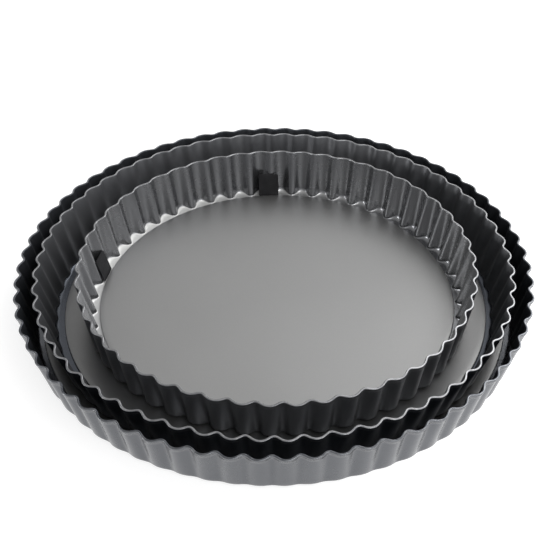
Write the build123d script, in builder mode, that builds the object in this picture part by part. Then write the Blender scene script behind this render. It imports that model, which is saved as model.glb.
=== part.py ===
"""Nest of three loose-bottom fluted tart pans, in millimetres, +Z up.

Each pan is a pressed sheet ring, with a fluted wall and a flat flange turned inward at the foot,
and a loose flat base that lies on the flange. The medium pan stands on the large pan's base and
the small pan on the medium pan's base. Two small tabs stand against the small pan's inner wall.
The origin is the centre of the large pan's underside.
"""
from build123d import *
from math import atan2, cos, degrees, hypot, pi, radians, sin
import os

# Sheet metal
sheet = 0.8                 # thickness of a ring's wall and flange
base_thickness = 1.0        # thickness of a loose base
base_edge = 0.3             # bevel on a base's upper and lower edge
stack_step = sheet + base_thickness

# Rim band: the pressed edge along the top of every wall
band_height = 1.6
band_proud = 0.25           # how far the band stands out of the wall

# Foot bend, where the wall turns into the flange
heel_height = 2.2
heel_spread = 1.2           # how much wider the wall is at the top of the bend

# Flutes: tangent arcs, where the inward crests are tighter than the outward bulges
crest_share = 0.36          # the crest arc's part of the two radii added up

# One row per pan. Radii are of the sheet's centre line, at the outward bulges.
# offset_x is where the pan stands, base_shift is how far its loose base lies off its centre.
pans = {
    "large": dict(
        flutes=66, height=26.0, rim_bulge=128.33, rim_depth=2.4, foot_bulge=120.65, foot_depth=1.0,
        base_radius=117.0, flange_hole=109.0, offset_x=0.0, base_shift=0.0, crest_angle=-14.14,
    ),
    "medium": dict(
        flutes=60, height=26.2, rim_bulge=119.35, rim_depth=2.4, foot_bulge=110.7, foot_depth=1.1,
        base_radius=106.9, flange_hole=99.0, offset_x=0.0, base_shift=0.7, crest_angle=-12.12,
    ),
    "small": dict(
        flutes=50, height=25.5, rim_bulge=99.65, rim_depth=2.0, foot_bulge=94.6, foot_depth=3.5,
        base_radius=90.0, flange_hole=82.5, offset_x=1.3, base_shift=0.3, crest_angle=-9.29,
    ),
}

# Tabs in the small pan
tab_width = 11.0
tab_height = 13.0
tab_thickness = 0.6
tab_corner = 1.2
tab_clearance = 0.15        # left between a tab and the crests that it leans on
tabs = {"rear_tab": 92.4, "left_tab": 167.1}    # angle round the small pan


def fluted_outline(bulge, depth, flutes, crest_angle, outward):
    """Draw one closed outline of bulges and crests, moved outward from the sheet's centre line."""
    half_cell = pi / flutes
    half_pitch = (bulge - depth / 2) * half_cell
    crest_arc = crest_share * (half_pitch**2 + depth**2) / (2 * depth)
    crest_centre = bulge - depth + crest_arc
    bulge_arc = (
        bulge**2 + crest_centre**2 - 2 * bulge * crest_centre * cos(half_cell) - crest_arc**2
    ) / (2 * (bulge - crest_centre * cos(half_cell) + crest_arc))
    bulge_centre = bulge - bulge_arc

    # The two arcs meet on the line between their centres.
    part_way = (crest_arc - outward) / (crest_arc + bulge_arc)
    join_x = crest_centre + (bulge_centre * cos(half_cell) - crest_centre) * part_way
    join_y = bulge_centre * sin(half_cell) * part_way
    join_radius = hypot(join_x, join_y)
    join_turn = degrees(atan2(join_y, join_x))
    crest_radius = bulge - depth + outward
    bulge_radius = bulge + outward

    def at(radius, angle):
        return (radius * cos(radians(angle)), radius * sin(radians(angle)))

    cell = 360 / flutes
    for index in range(flutes):
        crest = crest_angle + index * cell
        ThreePointArc(
            at(join_radius, crest - join_turn), at(crest_radius, crest), at(join_radius, crest + join_turn)
        )
        ThreePointArc(
            at(join_radius, crest + join_turn),
            at(bulge_radius, crest + cell / 2),
            at(join_radius, crest + cell - join_turn),
        )


def wall_at(pan, height):
    """Bulge radius and flute depth of a pan's centre line at a height above its underside."""
    heel_bulge = pan["foot_bulge"] + heel_spread
    rise = (height - heel_height) / (pan["height"] - heel_height)
    bulge = heel_bulge + (pan["rim_bulge"] - heel_bulge) * rise
    depth = pan["foot_depth"] + (pan["rim_depth"] - pan["foot_depth"]) * rise
    return bulge, depth


def section(pan, floor, height, outward, foot=False):
    """Face inside a pan's fluted outline at a height, at the bend's foot or on the wall above it."""
    bulge, depth = (pan["foot_bulge"], pan["foot_depth"]) if foot else wall_at(pan, height)
    with BuildSketch(Plane((pan["offset_x"], 0, floor + height))) as outline:
        with BuildLine():
            fluted_outline(bulge, depth, pan["flutes"], pan["crest_angle"], outward)
        make_face()
    return outline.sketch.face()


def make_ring(name, pan, floor):
    """Fluted wall, foot bend, inward flange and rim band, as one pressed sheet."""
    top = pan["height"]
    outer_wall = [
        section(pan, floor, 0, sheet / 2, foot=True),
        section(pan, floor, heel_height, sheet / 2),
        section(pan, floor, top, sheet / 2),
    ]
    rim_band = [
        section(pan, floor, top - band_height, sheet / 2 + band_proud),
        section(pan, floor, top, sheet / 2 + band_proud),
    ]
    hollow = [
        section(pan, floor, sheet, -sheet / 2, foot=True),
        section(pan, floor, sheet + heel_height, -sheet / 2),
        section(pan, floor, top + band_height, -sheet / 2),
    ]
    with BuildPart() as ring:
        loft(sections=outer_wall, ruled=True)
        loft(sections=rim_band, ruled=True)
        loft(sections=hollow, ruled=True, mode=Mode.SUBTRACT)
        with BuildSketch(Plane((pan["offset_x"], 0, floor))):
            Circle(pan["flange_hole"])
        extrude(amount=sheet, mode=Mode.SUBTRACT)
    ring.part.label = name
    export_step(ring.part, f"parts/{name}.step")


def make_base(name, pan, floor):
    """Loose flat base with bevelled edges, lying on its ring's flange."""
    with BuildPart() as base:
        with BuildSketch(Plane((pan["offset_x"] + pan["base_shift"], 0, floor + sheet))):
            Circle(pan["base_radius"])
        extrude(amount=base_thickness)
        chamfer(base.edges(), length=base_edge)
    base.part.label = name
    export_step(base.part, f"parts/{name}.step")


def make_tab(name, pan, floor, angle):
    """Thin tab that stands on the flange and leans on the crests of the wall."""
    foot_crest = pan["foot_bulge"] - pan["foot_depth"] - sheet / 2 - tab_clearance
    bulge, depth = wall_at(pan, sheet + tab_height)
    top_crest = bulge - depth - sheet / 2 - tab_clearance
    out = Vector(cos(radians(angle)), sin(radians(angle)), 0)
    up = (out * (top_crest - foot_crest) + Vector(0, 0, tab_height)).normalized()
    across = out.cross(up).normalized()
    foot = Vector(pan["offset_x"], 0, floor + sheet + tab_clearance) + out * foot_crest
    with BuildPart() as tab:
        with BuildSketch(Plane(foot, x_dir=across, z_dir=across.cross(up))):
            RectangleRounded(tab_width, tab_height, tab_corner, align=(Align.CENTER, Align.MIN))
        extrude(amount=tab_thickness)
    tab.part.label = name
    export_step(tab.part, f"parts/{name}.step")


os.makedirs("parts", exist_ok=True)
for order, (size, pan) in enumerate(pans.items()):
    make_ring(size + "_ring", pan, order * stack_step)
    make_base(size + "_base", pan, order * stack_step)
small_floor = 2 * stack_step
for name, angle in tabs.items():
    make_tab(name, pans["small"], small_floor, angle)
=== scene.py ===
"""Looks of the nest of three fluted tart pans: fine pressed-sheet meshes, coating materials, studio.

Everything is in metres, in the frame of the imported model. Each of its rings, bases and tabs is
replaced by a finer mesh of the same size, measured from the node, which rides on the same body.
"""
import math

import bpy
import bmesh
from mathutils import Matrix, Vector, noise


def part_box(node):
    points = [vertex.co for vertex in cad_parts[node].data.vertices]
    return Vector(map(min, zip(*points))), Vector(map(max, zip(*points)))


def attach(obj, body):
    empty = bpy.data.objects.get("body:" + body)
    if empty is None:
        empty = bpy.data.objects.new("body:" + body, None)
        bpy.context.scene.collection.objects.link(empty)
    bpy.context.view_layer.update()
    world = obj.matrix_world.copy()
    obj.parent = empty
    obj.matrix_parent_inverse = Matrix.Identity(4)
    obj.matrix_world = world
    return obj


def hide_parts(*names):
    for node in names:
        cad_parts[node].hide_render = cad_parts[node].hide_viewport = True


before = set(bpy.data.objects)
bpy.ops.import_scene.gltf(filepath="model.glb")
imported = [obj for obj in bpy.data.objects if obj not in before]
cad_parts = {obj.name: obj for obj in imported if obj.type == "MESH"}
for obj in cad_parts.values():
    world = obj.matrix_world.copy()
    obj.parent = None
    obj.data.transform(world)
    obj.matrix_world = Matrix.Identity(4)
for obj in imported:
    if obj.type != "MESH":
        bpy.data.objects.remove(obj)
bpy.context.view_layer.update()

MM = 0.001

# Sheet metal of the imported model
SHEET = 0.8 * MM
HEEL_HEIGHT = 2.2 * MM      # the wall is straight above this
HEEL_SPREAD = 1.2 * MM      # how much wider the wall is there than at the foot
BAND_HEIGHT = 1.6 * MM      # pressed band along the rim
BAND_PROUD = 0.25 * MM      # how far the band stands out
LEVEL = 0.01 * MM           # heights closer than this count as the same
MERGE = 0.001 * MM          # vertices closer than this are one

# Detail that only the looks have
CREST_BEND = 1.2 * MM       # foot bend at the crests, at the middle of the sheet
BULGE_BEND = 3.6 * MM       # and at the bulges
RIM_WAVE = 0.55 * MM        # how much higher the rim stands at the crests than at the bulges
WAVE_FROM = 0.5             # share of the wall's height where that starts
ARC_FILL = 0.92             # share of a flute taken by its two arcs, the rest is straight flank
CREST_SHARE = 0.33          # the crest arc's part of the two radii added up
EDGE_ROUND = 0.34 * MM      # rounding of cut edges
TAB_ROUND = 0.18 * MM       # rounding of a tab's edges
TAB_SHARP = math.radians(60)    # a tab's edges that turn more than this are rounded
BASE_ROUND = 0.9            # rounding of a base's edge, as a share of half its thickness
CREST_TUCK = 0.4 * MM       # how much further in the crests stand at the foot
PAINTED_LIGHT_ANGLE = math.radians(142)  # where the small pan's flange is painted lightest, as if most light fell there
PAINTED_LIGHT_POWER = 3              # how quickly that painted light fades away from there
REST_GAP = 0.02 * MM        # air left under a resting base, so that touching faces stay apart
UNEVEN = 0.06 * MM          # how far the pressed sheet wanders
UNEVEN_FROM = 8 * MM        # above this height, it wanders that far
UNEVEN_ROUND = 9            # how finely it wanders round the pan
UNEVEN_UP = 8               # and how finely up the wall

# Mesh density
FLUTE_SAMPLES = 16
WALL_ROWS = 12
BAND_SHARES = (0.25, 0.6, 1.0)      # rows of the rim band, as shares of its height
BEND_ROWS = 7
FLANGE_ROWS = 4
CORNER_ROWS = 4
BASE_SIDES = 288
HALVINGS = 50               # steps of the search for the flank's slope
BASE_SHARES = (0.25, 0.5, 0.75, 0.9, 0.97)      # rows of a base's face, as shares of its radius

# Flutes round each pan and the angle of one inward crest in degrees, then how its looks differ:
# how bare the rim is worn, how much paler and matter the flange is, partly as painted light, how much
# painted shade darkens the loose base, and for each face of the ring how much painted shade darkens it and
# how matt its coating is
RINGS = {
    "large": dict(
        flutes=66, crest_angle=-14.14, worn=0.45, pale_and_painted_light=0.0, base=0.37,
        flange=(0.5, 0.0), inside=(0.75, 1.0), outside=(0.47, 0.0),
    ),
    "medium": dict(
        flutes=60, crest_angle=-12.12, worn=0.8, pale_and_painted_light=0.0, base=0.37,
        flange=(0.85, 0.0), inside=(0.25, 1.0), outside=(0.95, 0.5),
    ),
    "small": dict(
        flutes=50, crest_angle=-9.29, worn=0.7, pale_and_painted_light=1.0, base=0.0,
        flange=(0.0, 0.0), inside=(0.06, 0.0), outside=(0.42, 1.0),
    ),
}

# Camera: where it stands from the nest's centre, how far it looks down and rolls in degrees, lens
CAMERA_BACK = 0.4752
CAMERA_RIGHT = 0.0007
CAMERA_HEIGHT = 0.4114
CAMERA_DOWN = 39.434
CAMERA_ROLL = 0.464
LENS = 80.1


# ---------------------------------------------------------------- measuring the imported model

def polar_points(node, centre_x):
    """(radius, height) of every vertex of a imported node, about an upright axis."""
    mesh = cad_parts[node].data
    return [(math.hypot(v.co.x - centre_x, v.co.y), v.co.z) for v in mesh.vertices]


def measure_ring(size):
    """Driving sizes of a ring: radii of the sheet's middle at the bulges, and flute depths."""
    low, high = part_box(size + "_ring")
    centre_x = (low[0] + high[0]) / 2
    points = polar_points(size + "_ring", centre_x)
    hole = min(radius for radius, _ in points)
    rim = [radius for radius, height in points if height > high[2] - LEVEL]
    foot = [radius for radius, height in points if height < low[2] + LEVEL and radius > hole + MM]
    return dict(
        centre_x=centre_x,
        floor=low[2],
        height=high[2] - low[2],
        hole=hole,
        rim_bulge=max(rim) - SHEET / 2 - BAND_PROUD,
        rim_crest=min(rim) + SHEET / 2,
        foot_bulge=max(foot) - SHEET / 2,
        foot_crest=min(foot) - SHEET / 2,
    )


# ---------------------------------------------------------------- mesh helpers

def new_object(name, mesh_builder, material):
    """Turn a bmesh into a smooth object in the scene, with all its faces looking outward."""
    bmesh.ops.recalc_face_normals(mesh_builder, faces=mesh_builder.faces)
    mesh = bpy.data.meshes.new(name)
    mesh_builder.to_mesh(mesh)
    mesh_builder.free()
    mesh.shade_smooth()
    mesh.materials.append(material)
    piece = bpy.data.objects.new(name, mesh)
    bpy.context.scene.collection.objects.link(piece)
    return piece


def flute_curve(pitch, depth):
    """Height above the crest at even steps across one flute: crest arc, straight flank, bulge arc."""
    half = pitch / 2
    radii = ARC_FILL * (half**2 + depth**2) / (2 * depth)
    crest_arc = CREST_SHARE * radii
    bulge_arc = radii - crest_arc
    low, high = 0.0, math.asin(min(half / radii, 1.0))
    for _ in range(HALVINGS):
        slope = (low + high) / 2
        rise = radii * (1 - math.cos(slope)) + math.tan(slope) * (half - radii * math.sin(slope))
        if rise < depth:
            low = slope
        else:
            high = slope
    crest_end = crest_arc * math.sin(slope)
    bulge_start = half - bulge_arc * math.sin(slope)
    heights = []
    for step in range(FLUTE_SAMPLES):
        across = step * pitch / FLUTE_SAMPLES
        across = min(across, pitch - across)
        if across < crest_end:
            heights.append(crest_arc - math.sqrt(crest_arc**2 - across**2))
        elif across < bulge_start:
            flank = (across - crest_end) * math.tan(slope)
            heights.append(crest_arc * (1 - math.cos(slope)) + flank)
        else:
            heights.append(depth - bulge_arc + math.sqrt(bulge_arc**2 - (half - across) ** 2))
    return heights


def smooth_step(value):
    value = min(max(value, 0.0), 1.0)
    return value * value * (3 - 2 * value)


# ---------------------------------------------------------------- rings

def middle_sheet(ring, flutes, crest_angle):
    """Points of the sheet's middle surface, as columns round the pan and rows from hole to rim."""
    mid = SHEET / 2
    top = ring["height"]
    heel_bulge = ring["foot_bulge"] + HEEL_SPREAD
    bulge_slope = (ring["rim_bulge"] - heel_bulge) / (top - HEEL_HEIGHT)
    heel_crest = ring["foot_crest"] + HEEL_SPREAD
    crest_slope = (ring["rim_crest"] - heel_crest) / (top - HEEL_HEIGHT)
    base_bulge = heel_bulge - bulge_slope * (HEEL_HEIGHT - mid)
    base_crest = heel_crest - crest_slope * (HEEL_HEIGHT - mid) - CREST_TUCK

    base_depth = base_bulge - base_crest
    rim_depth = ring["rim_bulge"] - ring["rim_crest"]
    base_curve = flute_curve(math.tau * (base_crest + base_depth / 2) / flutes, base_depth)
    rim_curve = flute_curve(math.tau * (ring["rim_crest"] + rim_depth / 2) / flutes, rim_depth)

    columns = []
    for index in range(flutes * FLUTE_SAMPLES):
        step = index % FLUTE_SAMPLES
        angle = math.radians(crest_angle) + math.tau * index / (flutes * FLUTE_SAMPLES)
        base_radius = base_crest + base_curve[step]
        rim_radius = ring["rim_crest"] + rim_curve[step]
        wave = RIM_WAVE * (0.5 - rim_curve[step] / rim_depth)
        lean = math.atan2(rim_radius - base_radius, top - mid)
        turn = math.pi / 2 - lean
        bend = CREST_BEND + (BULGE_BEND - CREST_BEND) * base_curve[step] / base_depth
        tangent = bend * math.tan(turn / 2)
        bend_x = base_radius - tangent

        # Flange and foot bend, then the wall and its band, each as (radius, height)
        rows = []
        for row in range(FLANGE_ROWS):
            rows.append((ring["hole"] + (bend_x - ring["hole"]) * row / FLANGE_ROWS, mid))
        for row in range(BEND_ROWS):
            bent = turn * row / BEND_ROWS
            rows.append((bend_x + bend * math.sin(bent), mid + bend * (1 - math.cos(bent))))
        start = mid + tangent * math.cos(lean)
        band_foot = top - BAND_HEIGHT
        heights = [start + (band_foot - start) * (row / WALL_ROWS) for row in range(WALL_ROWS + 1)]
        heights += [top - BAND_HEIGHT * (1 - share) for share in BAND_SHARES]
        for height in heights:
            radius = base_radius + (rim_radius - base_radius) * (height - mid) / (top - mid)
            along = Vector((math.cos(angle), math.sin(angle), height * UNEVEN_UP)) * UNEVEN_ROUND
            radius += UNEVEN * noise.noise(along) * smooth_step(height / UNEVEN_FROM)
            rise = smooth_step((height / top - WAVE_FROM) / (1 - WAVE_FROM))
            rows.append((radius, height + wave * rise))

        points = []
        for radius, height in rows:
            points.append(Vector((
                ring["centre_x"] + radius * math.cos(angle),
                radius * math.sin(angle),
                ring["floor"] + height,
            )))
        columns.append(points)
    return columns


def corner(outward, upward, radius, first, last):
    """Offsets (out, up) round a rounded corner whose arc runs between two angles in degrees."""
    for row in range(CORNER_ROWS + 1):
        angle = math.radians(first + (last - first) * row / CORNER_ROWS)
        yield outward + radius * math.cos(angle), upward + radius * math.sin(angle)


def make_ring(size, material):
    """Pressed sheet ring as one closed mesh: flange, foot bend, fluted wall and rim band."""
    looks = RINGS[size]
    flutes, crest_angle, worn = looks["flutes"], looks["crest_angle"], looks["worn"]
    ring = measure_ring(size)
    columns = middle_sheet(ring, flutes, crest_angle)
    count = len(columns)
    last = len(columns[0]) - 1
    half = SHEET / 2
    proud = half + BAND_PROUD
    band_start = last - len(BAND_SHARES) + 1
    wall_start = FLANGE_ROWS + BEND_ROWS - 2    # the bend's last two rows look like the wall

    builder = bmesh.new()
    edge_layer = builder.verts.layers.float.new("edge")
    pale_and_painted_light_layer = builder.verts.layers.float.new("pale_and_painted_light")
    painted_shade_layer = builder.verts.layers.float.new("painted_shade")
    matt_layer = builder.verts.layers.float.new("matt")
    loops = []
    for index, points in enumerate(columns):
        before, after = columns[index - 1], columns[(index + 1) % count]
        # Painted light: the flange's paleness is strongest at one angle round the pan and fades away from
        # it, as if light fell from that side.
        turned = math.radians(crest_angle) + math.tau * index / count - PAINTED_LIGHT_ANGLE
        painted_light_falloff = (0.5 + 0.5 * math.cos(turned)) ** PAINTED_LIGHT_POWER
        loop = []

        def put(row, out, up=0.0, edge=0.0):
            """Add a vertex off the middle sheet: out is away from the food side, up is along it."""
            low, high = max(row - 1, 0), min(row + 1, last)
            along = (points[high] - points[low]).normalized()
            around = after[row] - before[row]
            normal = around.cross(along).normalized()
            vert = builder.verts.new(points[row] + normal * out + along * up)
            vert[edge_layer] = edge
            on_flange = row < wall_start
            vert[pale_and_painted_light_layer] = looks["pale_and_painted_light"] * painted_light_falloff if on_flange else 0.0
            # Painted shade: each face of the ring gets its own share of darkening, standing in for shade in
            # the gaps between the pans.
            face = "flange" if on_flange else "outside" if out > 0 else "inside"
            vert[painted_shade_layer], vert[matt_layer] = looks[face]
            loop.append(vert)

        for row in range(1, band_start):
            put(row, half)
        for row in range(band_start, last):
            put(row, proud)
        for out, up in corner(proud - EDGE_ROUND, -EDGE_ROUND, EDGE_ROUND, 0, 90):
            put(last, out, up, worn * (1 + up / EDGE_ROUND))
        for out, up in corner(EDGE_ROUND - half, -EDGE_ROUND, EDGE_ROUND, 90, 180):
            put(last, out, up, worn * (1 + up / EDGE_ROUND))
        for row in range(last - 1, 0, -1):
            put(row, -half)
        for out, up in corner(EDGE_ROUND - half, EDGE_ROUND, EDGE_ROUND, 180, 270):
            put(0, out, up)
        for out, up in corner(half - EDGE_ROUND, EDGE_ROUND, EDGE_ROUND, 270, 360):
            put(0, out, up)
        loops.append(loop)

    for index, loop in enumerate(loops):
        following = loops[(index + 1) % count]
        for spot in range(len(loop)):
            ahead = (spot + 1) % len(loop)
            builder.faces.new((loop[spot], following[spot], following[ahead], loop[ahead]))
    piece = new_object(size + "_fluted_ring", builder, material)
    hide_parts(size + "_ring")
    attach(piece, size + "_ring")


# ---------------------------------------------------------------- loose bases

def make_base(size, material):
    """Loose base as a turned disc with rounded edges."""
    low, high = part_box(size + "_base")
    centre = Vector(((low[0] + high[0]) / 2, (low[1] + high[1]) / 2, 0))
    radius = (high[0] - low[0]) / 2
    half = (high[2] - low[2] - REST_GAP) / 2
    middle = (high[2] + low[2] + REST_GAP) / 2
    round_over = BASE_ROUND * half

    profile = [(radius * share, half) for share in BASE_SHARES]
    profile += list(corner(radius - round_over, half - round_over, round_over, 90, 0))
    profile += list(corner(radius - round_over, round_over - half, round_over, 0, -90))
    profile += [(radius * share, -half) for share in reversed(BASE_SHARES)]

    builder = bmesh.new()
    painted_shade_layer = builder.verts.layers.float.new("painted_shade")
    loops = []
    for index in range(BASE_SIDES):
        angle = math.tau * index / BASE_SIDES
        out = Vector((math.cos(angle), math.sin(angle), 0))
        loops.append([
            builder.verts.new(centre + out * reach + Vector((0, 0, middle + up))) for reach, up in profile
        ])
    above = builder.verts.new(centre + Vector((0, 0, middle + half)))
    below = builder.verts.new(centre + Vector((0, 0, middle - half)))
    for index, loop in enumerate(loops):
        following = loops[(index + 1) % BASE_SIDES]
        for spot in range(len(loop) - 1):
            builder.faces.new((loop[spot], following[spot], following[spot + 1], loop[spot + 1]))
        builder.faces.new((above, following[0], loop[0]))
        builder.faces.new((below, loop[-1], following[-1]))
    # Painted shade: the whole base is darkened by its share, standing in for shade under the pan nested
    # above it.
    for vert in builder.verts:
        vert[painted_shade_layer] = RINGS[size]["base"]
    piece = new_object(size + "_loose_base", builder, material)
    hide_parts(size + "_base")
    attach(piece, size + "_base")


# ---------------------------------------------------------------- tabs

def make_tab(node, material):
    """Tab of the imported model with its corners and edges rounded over."""
    builder = bmesh.new()
    builder.from_mesh(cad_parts[node].data)
    bmesh.ops.remove_doubles(builder, verts=builder.verts, dist=MERGE)
    sharp = [e for e in builder.edges if e.calc_face_angle(0) > TAB_SHARP]
    bmesh.ops.bevel(builder, geom=sharp, offset=TAB_ROUND, segments=3, profile=0.5, affect="EDGES")
    piece = new_object(node + "_strip", builder, material)
    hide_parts(node)
    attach(piece, "small_ring")


# ---------------------------------------------------------------- materials

class Nodes:
    """Short calls for building one material's node tree."""

    def __init__(self, name):
        self.material = bpy.data.materials.new(name)
        self.material.use_nodes = True
        self.tree = self.material.node_tree
        self.shader = self.tree.nodes["Principled BSDF"]
        self.place = self.add("ShaderNodeTexCoord").outputs["Object"]

    def add(self, kind, **settings):
        node = self.tree.nodes.new(kind)
        for key, value in settings.items():
            setattr(node, key, value)
        return node

    def link(self, start, end):
        self.tree.links.new(start, end)

    def noise(self, scale, detail=3.0, roughness=0.5):
        node = self.add("ShaderNodeTexNoise")
        node.inputs["Scale"].default_value = scale
        node.inputs["Detail"].default_value = detail
        node.inputs["Roughness"].default_value = roughness
        self.link(self.place, node.inputs["Vector"])
        return node.outputs["Fac"]

    def remap(self, value, low, high, new_low, new_high):
        node = self.add("ShaderNodeMapRange")
        node.inputs["From Min"].default_value = low
        node.inputs["From Max"].default_value = high
        node.inputs["To Min"].default_value = new_low
        node.inputs["To Max"].default_value = new_high
        self.link(value, node.inputs["Value"])
        return node.outputs["Result"]

    def math(self, operation, first, second):
        node = self.add("ShaderNodeMath", operation=operation)
        for socket, value in zip(node.inputs, (first, second)):
            if isinstance(value, (int, float)):
                socket.default_value = value
            else:
                self.link(value, socket)
        return node.outputs["Value"]

    def mix_colour(self, share, first, second):
        node = self.add("ShaderNodeMix", data_type="RGBA")
        self.link(share, node.inputs["Factor"])
        for socket, value in ((node.inputs["A"], first), (node.inputs["B"], second)):
            if isinstance(value, tuple):
                socket.default_value = (*value, 1.0)
            else:
                self.link(value, socket)
        return node.outputs["Result"]

    def attribute(self, name):
        return self.add("ShaderNodeAttribute", attribute_name=name).outputs["Fac"]

    def bump(self, height, distance, under=None):
        node = self.add("ShaderNodeBump")
        node.inputs["Strength"].default_value = 1.0
        node.inputs["Distance"].default_value = distance
        self.link(height, node.inputs["Height"])
        if under is not None:
            self.link(under, node.inputs["Normal"])
        return node.outputs["Normal"]

    def set(self, socket, value):
        if isinstance(value, (int, float, tuple)):
            self.shader.inputs[socket].default_value = value
        else:
            self.link(value, self.shader.inputs[socket])


def ring_material():
    """Satin dark non-stick coating, worn to bare steel along the rim, darkened by painted shade on some
    faces, and paler and matter on one flange, with painted light brightest on one side of it.
    """
    mat = Nodes("ring_coating_look")
    cloud = mat.noise(35, 4.0, 0.6)
    fleck = mat.noise(2600, 2.0, 0.6)
    dark = mat.mix_colour(mat.remap(cloud, 0.3, 0.7, 0, 1), (0.190, 0.193, 0.203), (0.225, 0.228, 0.236))
    flecked = mat.mix_colour(mat.remap(fleck, 0.5, 0.8, 0, 0.3), dark, (0.33, 0.33, 0.335))
    pale_and_painted_light = mat.attribute("pale_and_painted_light")
    # Painted shade: faces given a share are darkened towards blue-black, standing in for shade in the gaps
    # between the pans.
    with_painted_shade = mat.mix_colour(mat.attribute("painted_shade"), flecked, (0.040, 0.046, 0.058))
    # Painted light: the small pan's flange is mixed towards light grey, most on the side where light falls;
    # it is also made matter and less metallic.
    with_painted_light = mat.mix_colour(pale_and_painted_light, with_painted_shade, (0.60, 0.60, 0.59))
    ragged = mat.math("ADD", mat.attribute("edge"), mat.remap(mat.noise(420, 3.0), 0.3, 0.7, -0.2, 0.1))
    bare = mat.remap(ragged, 0.35, 0.95, 0, 1)
    mat.set("Base Color", mat.mix_colour(bare, with_painted_light, (0.35, 0.35, 0.355)))
    mat.set("Metallic", mat.remap(pale_and_painted_light, 0, 1, 0.92, 0.25))
    satin = mat.remap(mat.math("ADD", cloud, mat.noise(240, 3.0)), 0.6, 1.4, 0.22, 0.30)
    rougher = mat.math("MULTIPLY", mat.attribute("matt"), 0.16)
    mat.set("Roughness", mat.math("ADD", mat.math("ADD", satin, rougher), mat.math("MULTIPLY", pale_and_painted_light, 0.25)))
    soft = mat.bump(mat.noise(70, 2.0), 0.00002)
    mat.set("Normal", mat.bump(fleck, 0.000003, under=soft))
    return mat.material


def base_material():
    """Smooth satin coating of the loose bases, a little lighter than the rings, with painted shade
    darkening the bases of the large and medium pans.
    """
    mat = Nodes("base_coating_look")
    cloud = mat.noise(9, 3.0, 0.55)
    fleck = mat.noise(3200, 2.0, 0.6)
    base = mat.mix_colour(mat.remap(cloud, 0.3, 0.7, 0, 1), (0.274, 0.274, 0.273), (0.293, 0.293, 0.292))
    flecked = mat.mix_colour(mat.remap(fleck, 0.5, 0.8, 0, 0.3), base, (0.38, 0.38, 0.37))
    # Painted shade: the base's share darkens it towards black.
    mat.set("Base Color", mat.mix_colour(mat.attribute("painted_shade"), flecked, (0.042, 0.042, 0.042)))
    mat.set("Metallic", 0.92)
    mat.set("Roughness", mat.remap(mat.math("ADD", cloud, mat.noise(160, 3.0)), 0.6, 1.4, 0.38, 0.43))
    soft = mat.bump(mat.noise(14, 2.0), 0.0003)
    mat.set("Normal", mat.bump(fleck, 0.000002, under=soft))
    return mat.material


def tab_material():
    """Dull black, slightly grained."""
    mat = Nodes("tab_black_look")
    grain = mat.noise(1500, 3.0, 0.6)
    cloud = mat.noise(180, 3.0, 0.5)
    patches = mat.remap(cloud, 0.3, 0.7, 0, 1)
    mat.set("Base Color", mat.mix_colour(patches, (0.008, 0.008, 0.009), (0.015, 0.015, 0.016)))
    mat.set("Roughness", mat.remap(grain, 0.3, 0.7, 0.5, 0.68))
    mat.set("Specular IOR Level", 0.15)
    mat.set("Normal", mat.bump(grain, 0.00003))
    return mat.material


# ---------------------------------------------------------------- studio

def area_light(name, place, target, size, power):
    """Soft box that looks from its place at a target, with its size in metres and power in watts."""
    data = bpy.data.lights.new(name, "AREA")
    data.shape = "RECTANGLE"
    data.size, data.size_y = size
    data.energy = power
    lamp = bpy.data.objects.new(name, data)
    lamp.location = place
    lamp.rotation_euler = (Vector(target) - Vector(place)).to_track_quat("-Z", "Y").to_euler()
    bpy.context.scene.collection.objects.link(lamp)


def make_floor():
    """Plain whitish floor, wide enough for every view, that glows with painted light, more strongly on the
    right.
    """
    builder = bmesh.new()
    bmesh.ops.create_grid(builder, x_segments=1, y_segments=1, size=6.0)
    mesh = bpy.data.meshes.new("floor")
    builder.to_mesh(mesh)
    builder.free()
    mat = bpy.data.materials.new("floor_white")
    mat.use_nodes = True
    shader = mat.node_tree.nodes["Principled BSDF"]
    shader.inputs["Base Color"].default_value = (0.35, 0.35, 0.35, 1.0)
    shader.inputs["Roughness"].default_value = 0.9
    shader.inputs["Emission Color"].default_value = (1.0, 1.0, 1.0, 1.0)
    tree = mat.node_tree
    place = tree.nodes.new("ShaderNodeTexCoord")
    split = tree.nodes.new("ShaderNodeSeparateXYZ")
    tree.links.new(place.outputs["Object"], split.inputs["Vector"])
    # Painted light: the floor's glow grows from left to right, as if more light fell on its right side.
    painted_glow = tree.nodes.new("ShaderNodeMapRange")
    painted_glow.inputs["From Min"].default_value = 0.0
    painted_glow.inputs["From Max"].default_value = 0.30
    painted_glow.inputs["To Min"].default_value = 0.72
    painted_glow.inputs["To Max"].default_value = 1.30
    tree.links.new(split.outputs["X"], painted_glow.inputs["Value"])
    tree.links.new(painted_glow.outputs["Result"], shader.inputs["Emission Strength"])
    mesh.materials.append(mat)
    floor = bpy.data.objects.new("floor", mesh)
    floor.location.z = -0.2 * MM
    bpy.context.scene.collection.objects.link(floor)


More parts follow.
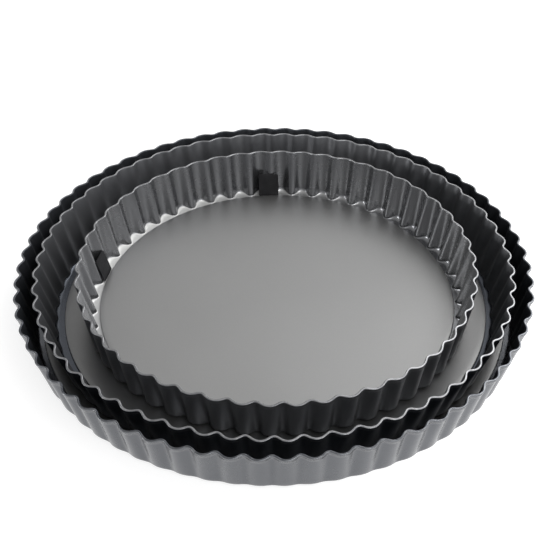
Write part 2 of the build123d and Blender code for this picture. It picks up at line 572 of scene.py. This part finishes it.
def make_surroundings():
    """Grey surroundings, brightest near the floor and to the right, in front of a white backdrop."""
    world = bpy.data.worlds.new("studio")
    world.use_nodes = True
    tree = world.node_tree
    place = tree.nodes.new("ShaderNodeTexCoord")
    split = tree.nodes.new("ShaderNodeSeparateXYZ")
    tree.links.new(place.outputs["Generated"], split.inputs["Vector"])

    ramp = tree.nodes.new("ShaderNodeValToRGB")
    steps = ((0.0, 0.50), (0.35, 0.52), (0.58, 0.50), (0.74, 0.50), (0.90, 0.24), (1.0, 0.22))
    while len(ramp.color_ramp.elements) < len(steps):
        ramp.color_ramp.elements.new(0.5)
    for element, (height, grey) in zip(ramp.color_ramp.elements, steps):
        element.position = height
        element.color = (grey, grey, grey, 1.0)
    tree.links.new(split.outputs["Z"], ramp.inputs["Fac"])

    side = tree.nodes.new("ShaderNodeMapRange")
    side.inputs["From Min"].default_value = -0.45
    side.inputs["From Max"].default_value = 0.45
    side.inputs["To Min"].default_value = 1.15
    side.inputs["To Max"].default_value = 2.95
    tree.links.new(split.outputs["X"], side.inputs["Value"])
    lit = tree.nodes["Background"]
    tree.links.new(ramp.outputs["Color"], lit.inputs["Color"])
    tree.links.new(side.outputs["Result"], lit.inputs["Strength"])

    backdrop = tree.nodes.new("ShaderNodeBackground")
    backdrop.inputs["Color"].default_value = (1.0, 1.0, 1.0, 1.0)
    seen = tree.nodes.new("ShaderNodeLightPath")
    either = tree.nodes.new("ShaderNodeMixShader")
    tree.links.new(seen.outputs["Is Camera Ray"], either.inputs["Fac"])
    tree.links.new(lit.outputs["Background"], either.inputs[1])
    tree.links.new(backdrop.outputs["Background"], either.inputs[2])
    tree.links.new(either.outputs["Shader"], tree.nodes["World Output"].inputs["Surface"])
    return world


def make_studio():
    """Soft surroundings, three soft boxes and a floor."""
    bpy.context.scene.world = make_surroundings()
    area_light("key_right", (0.9, 0.75, 1.1), (0, 0, 0), (1.0, 1.0), 12.0)
    area_light("fill_front", (0.6, -1.0, 1.25), (0, 0, 0), (0.9, 0.6), 9.0)
    area_light("side_left", (-1.3, -0.25, 0.34), (0, 0, 0.02), (0.7, 0.25), 5.5)
    bpy.context.scene.view_settings.view_transform = "Standard"
    make_floor()


def make_camera():
    data = bpy.data.cameras.new("camera")
    data.lens = LENS
    data.sensor_width = 36.0
    data.clip_start = 0.01
    camera = bpy.data.objects.new("camera", data)
    place = Matrix.Translation((CAMERA_RIGHT, -CAMERA_BACK, CAMERA_HEIGHT))
    tilt = Matrix.Rotation(math.radians(90 - CAMERA_DOWN), 4, "X")
    roll = Matrix.Rotation(math.radians(-CAMERA_ROLL), 4, "Z")
    camera.matrix_world = place @ tilt @ roll
    bpy.context.scene.collection.objects.link(camera)
    bpy.context.scene.camera = camera


# ---------------------------------------------------------------- all together

make_camera()
make_studio()
ring_look = ring_material()
base_look = base_material()
tab_look = tab_material()
for size in RINGS:
    make_ring(size, ring_look)
    make_base(size, base_look)
for node in ("rear_tab", "left_tab"):
    make_tab(node, tab_look)
